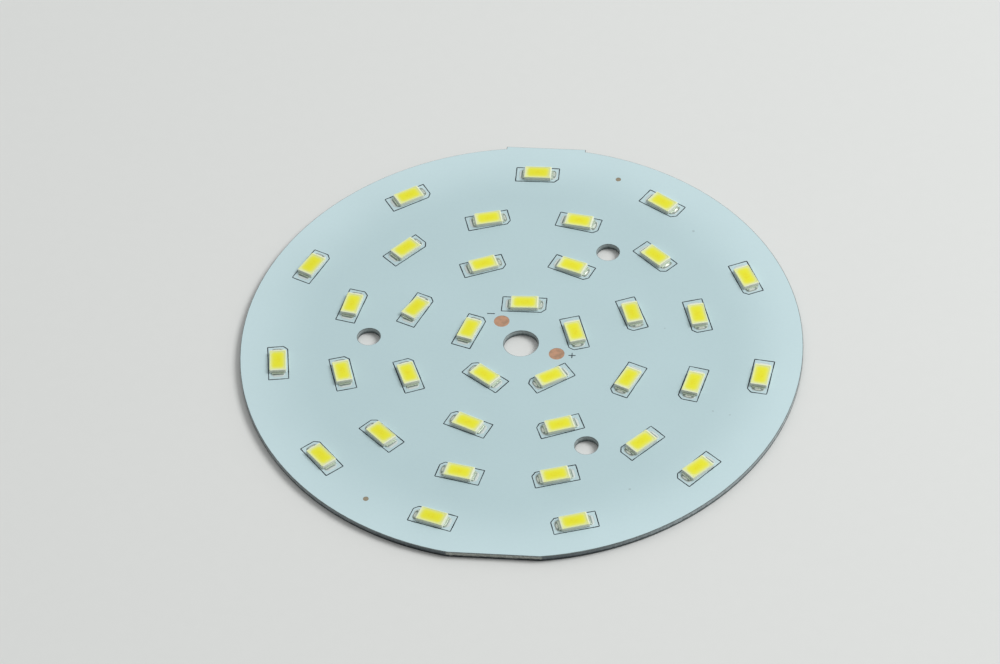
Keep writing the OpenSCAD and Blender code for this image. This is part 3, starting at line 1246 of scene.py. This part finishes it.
@dataclass
class Plate:
    """The punched aluminium plate, with a rolled lower edge and a crisp upper one.

    Attributes:
        finish: The plate's finish.
        tab_edge: Distance of the tab's edge from the middle.
        flat_edge: Distance of the flat from the middle.
        lower_round: Radius of the lower edge.
        upper_break: Width of the broken upper edge.
        crease: Angle in degrees from which an edge is shaded as a crease.
    """

    finish: Finish
    radius: float = 50.0
    tab_width: float = 14.7
    tab_edge: float = 50.05
    flat_edge: float = 49.37
    wire_hole_r: float = 3.1
    screw_hole_r: float = 2.05
    screw_circle_r: float = 27.25
    screw_angles: tuple[float, ...] = (60.0, 180.0, 300.0)
    lower_round: float = 0.16
    upper_break: float = 0.03
    round_steps: int = 5
    arc_steps: int = 180
    hole_steps: int = 72
    crease: float = 30.0

    def profile(self, thickness: float) -> list[tuple[float, float]]:
        """Section of a punched edge, from the underside to the top.

        Args:
            thickness: The plate's thickness.

        Returns:
            Pairs of how far the edge is drawn in, and how high.
        """
        turns = [math.radians(90 * step / self.round_steps) for step in range(self.round_steps + 1)]
        unit = [(1 - math.sin(turn), 1 - math.cos(turn)) for turn in turns]
        rolled = [(self.lower_round * inset, self.lower_round * height) for inset, height in unit]
        return rolled + [(0.0, thickness - self.upper_break), (self.upper_break, thickness)]

    def outside(self, inset: float) -> Plan:
        """Outline of the plate, anticlockwise from the right end of the flat.

        Args:
            inset: How far it is drawn in.

        Returns:
            Its points, equally many for every inset.
        """
        radius, flat, tab = self.radius - inset, inset - self.flat_edge, self.tab_edge - inset
        tab_half = self.tab_width / 2 - inset
        start = math.asin(flat / radius)
        stop = math.acos(tab_half / radius)
        angles = [start + (stop - start) * i / self.arc_steps for i in range(self.arc_steps + 1)]
        right = [(radius * math.cos(angle), radius * math.sin(angle)) for angle in angles]
        left = [(-x, y) for x, y in reversed(right)]
        return right + [(tab_half, tab), (-tab_half, tab)] + left

    def hole(self, centre: Spot, radius: float) -> Plan:
        """Outline of a round hole, clockwise.

        Args:
            centre: Its centre.
            radius: Its radius.

        Returns:
            Its points.
        """
        x, y = centre
        angles = (-2 * math.pi * i / self.hole_steps for i in range(self.hole_steps))
        return [(x + radius * math.cos(angle), y + radius * math.sin(angle)) for angle in angles]

    def outlines(self) -> list[Callable[[float], Plan]]:
        """The plate's outside and its holes.

        Returns:
            The outline of each, as a function of how far its edge is drawn in.
        """
        circle, turns = self.screw_circle_r, map(math.radians, self.screw_angles)
        screws = [(circle * math.cos(turn), circle * math.sin(turn)) for turn in turns]
        holes = [((0.0, 0.0), self.wire_hole_r)] + [(centre, self.screw_hole_r) for centre in screws]
        bores = [
            lambda inset, at=centre, size=radius: self.hole(at, size + inset)
            for centre, radius in holes
        ]
        return [self.outside, *bores]

    def build(self) -> None:
        """Builds the plate in place of its solid."""
        section = self.profile(height_of("aluminium_base"))
        walls = Loft()
        bottoms: list[Ring] = []
        tops: list[Ring] = []
        for outline in self.outlines():
            walls.rings = []
            for inset, height in section:
                walls.ring(outline(inset), height)
            bottoms.append(walls.rings[0])
            tops.append(walls.rings[-1])
        for loops in (bottoms, tops):
            pairs = [pair for loop in loops for pair in zip(loop, loop[1:] + loop[:1])]
            borders = [walls.mesh.edges.get(pair) for pair in pairs]
            bmesh.ops.triangle_fill(walls.mesh, use_beauty=True, use_dissolve=False, edges=borders)
        piece = set_down("punched_plate", finished_mesh(walls.mesh, "punched_plate", self.crease))
        piece.data.materials.append(self.finish.material())
        hand_over(piece, Slot.ALUMINIUM, ["aluminium_base"])


@dataclass
class Laminate:
    """The thin layers on the plate, kept as solids and dressed."""

    palette: Palette

    def build(self) -> None:
        """Dresses the insulating layer, the copper and the mask."""
        dress("dielectric_layer", self.palette.of(Slot.DIELECTRIC))
        dress("copper_foil", self.palette.of(Slot.COPPER))
        dress("solder_mask", self.palette.of(Slot.MASK))


def long_axis(points: Iterable[Vector], near: float, decimals: int = 7) -> float:
    """Direction that a symmetrical set of points is longest in.

    Args:
        points: The points, of which repeats count once.
        near: The direction, in radians, that picks one of the two opposite ones.
        decimals: Decimals of a metre to which repeats agree.

    Returns:
        The direction, in radians.
    """
    places = {tuple(round(part, decimals) for part in point) for point in points}
    mean_x, mean_y = (sum(place[axis] for place in places) / len(places) for axis in (0, 1))
    xx = sum((x - mean_x) ** 2 for x, _, _ in places)
    yy = sum((y - mean_y) ** 2 for _, y, _ in places)
    xy = sum((x - mean_x) * (y - mean_y) for x, y, _ in places)
    turn = math.atan2(2 * xy, xx - yy) / 2
    return turn + round((near - turn) / math.pi) * math.pi


@dataclass
class Seat:
    """Where one diode sits, in metres and radians.

    Attributes:
        LAND_REACH: Distance from its middle that its lands lie within, in millimetres.
        LAND_RISE: Height over the lands that the points of the solder's foot lie under, in millimetres.
        middle: The middle of the housing's underside.
        land_turn: The turn of its lands.
        turn: Its own turn on them.
    """

    LAND_REACH: ClassVar[float] = 3.7
    LAND_RISE: ClassVar[float] = 0.001

    middle: Vector
    land_turn: float
    turn: float

    @classmethod
    def of(cls, node: str) -> "Seat":
        """Reads a seat from a housing of the frame and the foot of the solder round it.

        Args:
            node: The housing's name.

        Returns:
            Its seat.
        """
        low, high = (Vector(corner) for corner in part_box(node))
        middle = (low + high) / 2
        round_board = math.atan2(middle.y, middle.x) - math.pi / 2
        just_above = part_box("solder_joints")[0][2] + cls.LAND_RISE * MM
        lands = [
            vert.co
            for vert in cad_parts["solder_joints"].data.vertices
            if vert.co.z < just_above and (vert.co.xy - middle.xy).length < cls.LAND_REACH * MM
        ]
        land_turn = long_axis(lands, round_board)
        turn = long_axis((vert.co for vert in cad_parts[node].data.vertices), land_turn)
        return cls(Vector((middle.x, middle.y, low.z)), land_turn, turn)


@dataclass
class Diodes:
    """The surface-mounted diodes: housings, phosphor, leads and solder, each made once and set out.

    A part's own x runs along the diode to its cathode. Each pair of a profile is a height over the part's
    foot, or a depth under its rim, and how far the wall is drawn in there.

    Attributes:
        palette: The board's finishes.
        seats: Where the diodes sit.
        names: Names of the housings' solids.
        draft: How far the housing's walls lean in over its height.
        cup_lean: How far the cup's walls lean in over its depth.
        cup_rim: Profile of the cup's rim, with a minus where it opens out.
        fill: Profile of the fill's top, from the cup's wall to the middle, with the radius of its corners.
        lead_end: Distance of a lead's outer end from the diode's middle.
        anode_inner: Distance of the anode lead's inner end.
        cathode_inner: Distance of the cathode lead's inner end, past the middle.
        land_start: Distance of a land's inner end from the diode's middle.
        land_end: Distance of its outer end.
        film: Height of the solder on the open land.
        film_edge: Width over which the film thins towards the land's edge.
        film_least: Height of the film at that edge.
        fillets: How far the solder's foot reaches from each lead.
        gap_climb: Share of the gap under the lead that the fillet fills.
        lead_climb: Share of the lead's end that it climbs.
        lead_lap: How far it goes in under the lead's end.
        fillet_power: How squarely it ends at the lead's sides.
    """

    palette: Palette
    seats: Sequence[Seat]
    names: Sequence[str]
    housing_l: float = 5.0
    housing_w: float = 3.0
    housing_corner: float = 0.2
    housing_foot: Profile = ((0.0, 0.04), (0.025, 0.0))
    housing_rim: Profile = ((0.05, 0.0), (0.015, 0.012), (0.0, 0.045))
    draft: float = 0.04
    cup_l: float = 4.16
    cup_w: float = 2.52
    cup_corner: float = 0.45
    cup_lean: float = 0.33
    cup_rim: Profile = ((0.0, -0.03), (0.012, -0.006), (0.04, 0.0), (0.2, 0.0))
    fill_lift: float = 0.01
    fill: tuple[tuple[float, float, float], ...] = (
        (0.03, 0.012, 0.45), (0.018, 0.02, 0.43), (0.026, 0.1, 0.4), (0.03, 0.25, 0.32),
        (0.026, 0.55, 0.2), (0.02, 0.85, 0.1), (0.018, 1.1, 0.05),
    )
    lead_w: float = 2.2
    lead_end: float = 2.85
    lead_corner: float = 0.06
    lead_foot: Profile = ((0.0, 0.02), (0.02, 0.0))
    lead_rim: Profile = ((0.04, 0.0), (0.012, 0.012), (0.0, 0.04))
    anode_inner: float = 1.3
    cathode_inner: float = 0.9
    land_w: float = 2.4
    land_start: float = 2.3
    land_end: float = 3.45
    land_chamfer: float = 0.45
    film: float = 0.045
    film_edge: float = 0.16
    film_least: float = 0.004
    fillets: Mapping[End, float] = field(default_factory=lambda: {End.ANODE: 0.09, End.CATHODE: 0.2})
    gap_climb: float = 0.8
    lead_climb: float = 0.64
    lead_lap: float = 0.02
    fillet_power: int = 6
    corner_steps: int = 5
    lead_steps: int = 3
    solder_steps: tuple[int, int] = (22, 26)
    housing_crease: float = 32.0
    fill_crease: float = 60.0
    lead_crease: float = 50.0
    solder_crease: float = 75.0
    tone_seed: int = 11
    tree: ShapeTree = field(default_factory=PartTree)

    def __post_init__(self) -> None:
        """Takes the heights of the housings and leads from the frame."""
        self.housing_h = height_of(self.names[0])
        self.lead_t = height_of("anode_leads")
        self.seat_z = self.seats[0].middle.z
        self.land_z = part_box("solder_joints")[0][2]

    def build(self) -> None:
        """Builds every part of the diodes in place of their solids."""
        self.set_out("diode_housings", self.housing(), Slot.HOUSING, self.names)
        self.set_out("diode_phosphor", self.phosphor(), Slot.PHOSPHOR, ["phosphor_fills"])
        for end in End:
            name = f"{end.name.lower()}_leads"
            self.set_out(f"diode_{name}", self.lead(end), Slot.LEAD, [name])
        self.set_out("reflowed_solder", self.solder(), Slot.SOLDER, ["solder_joints"], on_lands=True)
        dress("led_chips", self.palette.of(Slot.CHIP))
        dress("bond_wires", self.palette.of(Slot.GOLD))

    def set_out(
        self, name: str, part: bpy.types.Mesh, slot: Slot, nodes: Sequence[str], on_lands: bool = False
    ) -> None:
        """Sets one part out on every diode, as one piece.

        Args:
            name: The piece's name.
            part: The part, in the diode's own frame.
            slot: The record's slot, which also names its finish.
            nodes: The solids that the piece stands for.
            on_lands: Whether the part lies on the lands and has their turn, and not the diode's.
        """
        sample = set_down(f"{name}_sample", part)
        material = self.palette.of(slot).material()
        values = {"Part": sample, "Seed": self.tone_seed, "Material": material}
        piece = self.tree.grow(name, self.seat_points(name, on_lands), values)
        bpy.data.objects.remove(sample)
        bpy.data.meshes.remove(part)
        hand_over(piece, slot, nodes)

    def seat_points(self, name: str, on_lands: bool) -> bpy.types.Mesh:
        """One point for each diode, with its turn.

        Args:
            name: The mesh's name.
            on_lands: Whether the points lie on the lands and have their turn, and not the diode's.

        Returns:
            A mesh of points alone.
        """
        mesh = bpy.data.meshes.new(name)
        height = self.land_z if on_lands else self.seat_z
        mesh.from_pydata([(seat.middle.x, seat.middle.y, height) for seat in self.seats], [], [])
        turn = mesh.attributes.new("turn", "FLOAT", "POINT")
        for i, seat in enumerate(self.seats):
            turn.data[i].value = seat.land_turn if on_lands else seat.turn
        return mesh

    def housing(self) -> bpy.types.Mesh:
        """Makes a moulded housing with its reflector cup.

        Returns:
            The housing, standing on its zero.
        """
        top, floor = self.housing_h, self.housing_h - self.lead_t
        loft = Loft()
        rim = [(top - depth, drawn_in) for depth, drawn_in in self.housing_rim]
        for height, drawn_in in (*self.housing_foot, (top / 2, 0.0), *rim):
            lean = 2 * (self.draft * height / top + drawn_in)
            length, width = self.housing_l - lean, self.housing_w - lean
            loft.ring(rounded_plan(length, width, self.housing_corner, self.corner_steps), height)
        for depth, drawn_in in (*self.cup_rim, (floor, 0.0)):
            lean = 2 * (self.cup_lean * depth / floor + drawn_in)
            length, width = self.cup_l - lean, self.cup_w - lean
            loft.ring(rounded_plan(length, width, self.cup_corner - drawn_in, self.corner_steps), top - depth)
        return loft.capped("housing", self.housing_crease)

    def phosphor(self) -> bpy.types.Mesh:
        """Makes the fill, which creeps up the cup's wall and bellies slightly in the middle.

        Returns:
            The fill, in the housing's place.
        """
        loft = Loft()
        floor = (self.housing_h - self.lead_t - self.fill_lift, self.cup_lean, self.cup_corner)
        for depth, drawn_in, corner in (floor, *self.fill):
            length, width = self.cup_l - 2 * drawn_in, self.cup_w - 2 * drawn_in
            loft.ring(rounded_plan(length, width, corner, self.corner_steps), self.housing_h - depth)
        return loft.capped("phosphor", self.fill_crease)

    def lead(self, end: End) -> bpy.types.Mesh:
        """One stamped lead with softened edges.

        Args:
            end: Which end of the diode it serves.

        Returns:
            The lead.
        """
        if end is End.ANODE:
            start, stop = -self.lead_end, -self.anode_inner
        else:
            start, stop = -self.cathode_inner, self.lead_end
        middle = (start + stop) / 2
        loft = Loft()
        rim = [(self.lead_t - depth, drawn_in) for depth, drawn_in in self.lead_rim]
        for height, drawn_in in (*self.lead_foot, *rim):
            length, width = stop - start - 2 * drawn_in, self.lead_w - 2 * drawn_in
            plan = rounded_plan(length, width, self.lead_corner, self.lead_steps)
            loft.ring([(x + middle, y) for x, y in plan], height)
        return loft.capped(f"{end.name.lower()}_lead", self.lead_crease)

    def land_half_width(self, along: float) -> float:
        """Half of a land's width at a distance from the diode's middle."""
        return self.land_w / 2 - max(0.0, along - (self.land_end - self.land_chamfer))

    def solder_height(self, end: End, along: float, across: float) -> float:
        """Height of the solder over its land.

        Args:
            end: Which end of the diode.
            along: Distance from the diode's middle.
            across: Distance from its centre line.

        Returns:
            The height.
        """
        to_edge = min(self.land_end - along, self.land_half_width(along) - abs(across))
        film = self.film * math.sqrt(max(0.0, min(1.0, to_edge / self.film_edge)))
        past = along - self.lead_end
        if past <= -self.lead_lap:
            return max(film, self.film_least)
        gap = (self.seat_z - self.land_z) / MM
        climb = gap * self.gap_climb + self.lead_t * self.lead_climb
        beside = max(0.0, 1 - (abs(across) / (self.lead_w / 2)) ** self.fillet_power)
        return max(film + climb * math.exp(-max(0.0, past) / self.fillets[end]) * beside, self.film_least)

    def solder(self) -> bpy.types.Mesh:
        """Makes the solder at both ends of a diode.

        Returns:
            One mesh with two closed bodies, standing on its zero.
        """
        shape = bmesh.new()
        along_steps, across_steps = self.solder_steps
        turns = [math.pi * (j / across_steps - 0.5) for j in range(across_steps + 1)]
        for end in End:
            tops: list[Ring] = []
            feet: list[Ring] = []
            for i in range(along_steps + 1):
                along = self.land_start + (self.land_end - self.land_start) * i / along_steps
                offsets = [self.land_half_width(along) * math.sin(turn) for turn in turns]
                x = end.value * along * MM
                heights = [self.solder_height(end, along, across) for across in offsets]
                tops.append([shape.verts.new((x, y * MM, z * MM)) for y, z in zip(offsets, heights)])
                feet.append([shape.verts.new((x, y * MM, 0.0)) for y in offsets])
            self.close_grid(shape, tops, feet)
        return finished_mesh(shape, "solder", self.solder_crease)

    @staticmethod
    def close_grid(shape: bmesh.types.BMesh, tops: Sequence[Ring], feet: Sequence[Ring]) -> None:
        """Skins the top, the bottom and the sides of a grid of points.

        Args:
            shape: The mesh that takes the faces.
            tops: Rows of points of the top.
            feet: Rows of points of the bottom, under those of the top.
        """
        for layer in (tops, feet):
            for near, far in zip(layer, layer[1:]):
                for j in range(len(near) - 1):
                    shape.faces.new((near[j], far[j], far[j + 1], near[j + 1]))
        top_rim, foot_rim = (
            [row[0] for row in layer] + layer[-1][1:] + [row[-1] for row in layer[-2::-1]] + layer[0][-2:0:-1]
            for layer in (tops, feet)
        )
        for i, top in enumerate(top_rim):
            j = (i + 1) % len(top_rim)
            shape.faces.new((top, top_rim[j], foot_rim[j], foot_rim[i]))


@dataclass
class Legend:
    """The printed outlines of the diodes and the two polarity marks.

    Attributes:
        finish: The ink's finish.
        seats: Where the diodes sit.
        chamfer: Length cut off the outline's corner at the cathode.
        slip: How far the print lies off the lands, along and across the diode.
        step: Distance between the points of a line.
        wander: How far a line strays.
        swell: Share of the full width where a line is thinnest.
        print_turn: Turn of the print on the plate, in degrees.
    """

    finish: Finish
    seats: Sequence[Seat]
    outline_l: float = 7.9
    outline_w: float = 3.55
    chamfer: float = 0.75
    slip: Spot = (-0.07, -0.04)
    line_w: float = 0.22
    step: float = 0.16
    wander: float = 0.06
    swell: float = 0.62
    print_turn: float = 1.2
    minus_at: Spot = (-5.91, 7.11)
    minus_l: float = 1.4
    plus_at: Spot = (9.25, -2.61)
    plus_l: float = 1.25
    tree: ShapeTree = field(default_factory=InkTree)

    def build(self) -> None:
        """Prints the outlines in place of their solid, and the marks beside the wire lands."""
        outlines = self.print_lines("printed_outlines", [self.outline(seat) for seat in self.seats], True)
        hand_over(outlines, Slot.INK, ["legend_outlines"])
        marks = self.print_lines("polarity_marks", self.marks(), False)
        hand_over(marks, Slot.INK)

    def outline(self, seat: Seat) -> list[Vector]:
        """Corners of the outline round one diode.

        Args:
            seat: The diode's seat.

        Returns:
            The corners, in metres, in the plane of the board.
        """
        end, side = self.outline_l / 2, self.outline_w / 2
        cut_end, cut_side = end - self.chamfer, self.chamfer - side
        corners = ((-end, -side), (cut_end, -side), (end, cut_side), (end, side), (-end, side))
        slip, middle = Vector((*self.slip, 0)), seat.middle.xy.to_3d()
        turn = Matrix.Rotation(seat.land_turn, 4, "Z")
        return [turn @ ((Vector((x, y, 0)) + slip) * MM) + middle for x, y in corners]

    def marks(self) -> list[list[Vector]]:
        """Strokes of the minus and plus marks.

        Returns:
            Both ends of each stroke, in metres, in the plane of the board.
        """
        lying, upright = Vector((0.5, 0, 0)), Vector((0, 0.5, 0))
        strokes = (
            (self.minus_at, lying * self.minus_l),
            (self.plus_at, lying * self.plus_l),
            (self.plus_at, upright * self.plus_l),
        )
        turn = Matrix.Rotation(math.radians(self.print_turn), 4, "Z")
        return [[turn @ ((Vector((*at, 0)) + way * half) * MM) for way in (-1, 1)] for at, half in strokes]

    def print_lines(self, name: str, strokes: Sequence[Sequence[Vector]], closed: bool) -> bpy.types.Object:
        """Lays ink along strokes, at the height of the outlines' solid.

        Args:
            name: The piece's name.
            strokes: Points of each stroke, in the plane of the board.
            closed: Whether each stroke ends where it starts.

        Returns:
            The printed piece.
        """
        low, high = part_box("legend_outlines")
        middle = (low[2] + high[2]) / 2
        points: list[tuple[float, float, float]] = []
        edges: list[tuple[int, int]] = []
        for stroke in strokes:
            first, count = len(points), len(stroke)
            points += [(point.x, point.y, middle) for point in stroke]
            edges += [(first + i, first + (i + 1) % count) for i in range(count if closed else count - 1)]
        wire = bpy.data.meshes.new(name)
        wire.from_pydata(points, edges, [])
        values = {
            "Step": self.step * MM,
            "Line width": self.line_w * MM,
            "Ink height": high[2] - low[2],
            "Wander": self.wander * MM,
            "Swell": self.swell,
            "Material": self.finish.material(),
        }
        return self.tree.grow(name, wire, values)


@dataclass
class Studio:
    """Pale floor, soft light from behind on the right, and the camera. Angles in degrees.

    Attributes:
        floor_drop: How far the floor lies under the plate.
        azimuth: The camera's way, turned from the y axis towards x.
        elevation: How steeply the camera looks down.
        roll: Turn of the camera about its own axis.
        distance: Distance of the camera from its target.
        glow_from: Direction that the surroundings are brightest in.
        glow_levels: Their level away from that direction and towards it.
        glow_span: Cosines of the angles from it between which the level rises.
        key_power: Power of the soft light, in watts.
    """

    floor_finish: Finish = FloorFinish()
    floor_half: float = 3000.0
    floor_drop: float = 0.02
    azimuth: float = -7.93
    elevation: float = 46.29
    roll: float = -3.22
    distance: float = 745.1
    target: tuple[float, float, float] = (-4.0, 2.54, 1.24)
    lens: float = 150.64
    sensor: float = 36.0
    clip_start: float = 10.0
    glow_from: tuple[float, float, float] = (0.25, 0.75, 0.6)
    glow_levels: Span = (0.22, 0.78)
    glow_span: Span = (-0.3, 0.9)
    key_at: tuple[float, float, float] = (760.0, 260.0, 860.0)
    key_size: float = 520.0
    key_power: float = 8.3

    def build(self) -> None:
        """Sets the stage."""
        self.floor()
        self.key_light()
        self.surroundings()
        self.camera()
        bpy.context.scene.view_settings.view_transform = "Standard"

    def floor(self) -> None:
        """Lays the floor just under the plate."""
        half, drop = self.floor_half * MM, -self.floor_drop * MM
        mesh = bpy.data.meshes.new("floor")
        corners = [(-half, -half, drop), (half, -half, drop), (half, half, drop), (-half, half, drop)]
        mesh.from_pydata(corners, [], [(0, 1, 2, 3)])
        mesh.materials.append(self.floor_finish.material())
        set_down("floor", mesh)

    def key_light(self) -> None:
        """Hangs a square soft light that faces the board."""
        lamp = bpy.data.lights.new("key_light", "AREA")
        lamp.shape = "SQUARE"
        lamp.size = self.key_size * MM
        lamp.energy = self.key_power
        place = Vector(self.key_at) * MM
        turn = (-place).to_track_quat("-Z", "Y").to_matrix().to_4x4()
        set_down("key_light", lamp).matrix_world = Matrix.Translation(place) @ turn

    def surroundings(self) -> None:
        """Surrounds the board with soft light that comes mostly from behind and above."""
        world = bpy.data.worlds.new("studio")
        bpy.context.scene.world = world
        world.use_nodes = True
        graph = NodeGraph(world.node_tree)
        direction = graph.node("ShaderNodeTexCoord").outputs["Generated"]
        towards = graph.node(
            "ShaderNodeVectorMath",
            {"operation": "DOT_PRODUCT"},
            {0: direction, 1: Vector(self.glow_from).normalized()},
        )
        share = Value(graph, towards.outputs["Value"]).rise(*self.glow_span)
        level = share.between(*self.glow_levels)
        glow = graph.node("ShaderNodeBackground", inputs={"Color": (1.0, 1.0, 1.0), "Strength": level})
        graph.node("ShaderNodeOutputWorld", inputs={"Surface": glow})

    def camera(self) -> None:
        """Places the camera where the photograph was taken from."""
        azimuth, elevation, roll = map(math.radians, (self.azimuth, self.elevation, self.roll))
        forward = Vector((
            math.sin(azimuth) * math.cos(elevation),
            math.cos(azimuth) * math.cos(elevation),
            -math.sin(elevation),
        ))
        level_right = Vector((math.cos(azimuth), -math.sin(azimuth), 0))
        level_up = level_right.cross(forward)
        right = math.cos(roll) * level_right + math.sin(roll) * level_up
        up = math.cos(roll) * level_up - math.sin(roll) * level_right
        place = (Vector(self.target) - self.distance * forward) * MM
        optics = bpy.data.cameras.new("camera")
        optics.lens = self.lens
        optics.sensor_width = self.sensor
        optics.sensor_fit = "HORIZONTAL"
        optics.clip_start = self.clip_start * MM
        held = set_down("camera", optics)
        held.matrix_world = Matrix.Translation(place) @ Matrix((right, up, -forward)).transposed().to_4x4()
        bpy.context.scene.camera = held


def main() -> None:
    """Builds and dresses the board, piece by piece, and sets the stage."""
    logging.basicConfig(level=logging.INFO, format="%(name)s: %(message)s")
    palette = Palette()
    names = sorted(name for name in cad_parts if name.startswith("led_housing_"))
    seats = [Seat.of(name) for name in names]
    Plate(palette.aluminium).build()
    Laminate(palette).build()
    Legend(palette.ink, seats).build()
    Diodes(palette, seats, names).build()
    Studio().build()


if __name__ == "__main__":
    main()
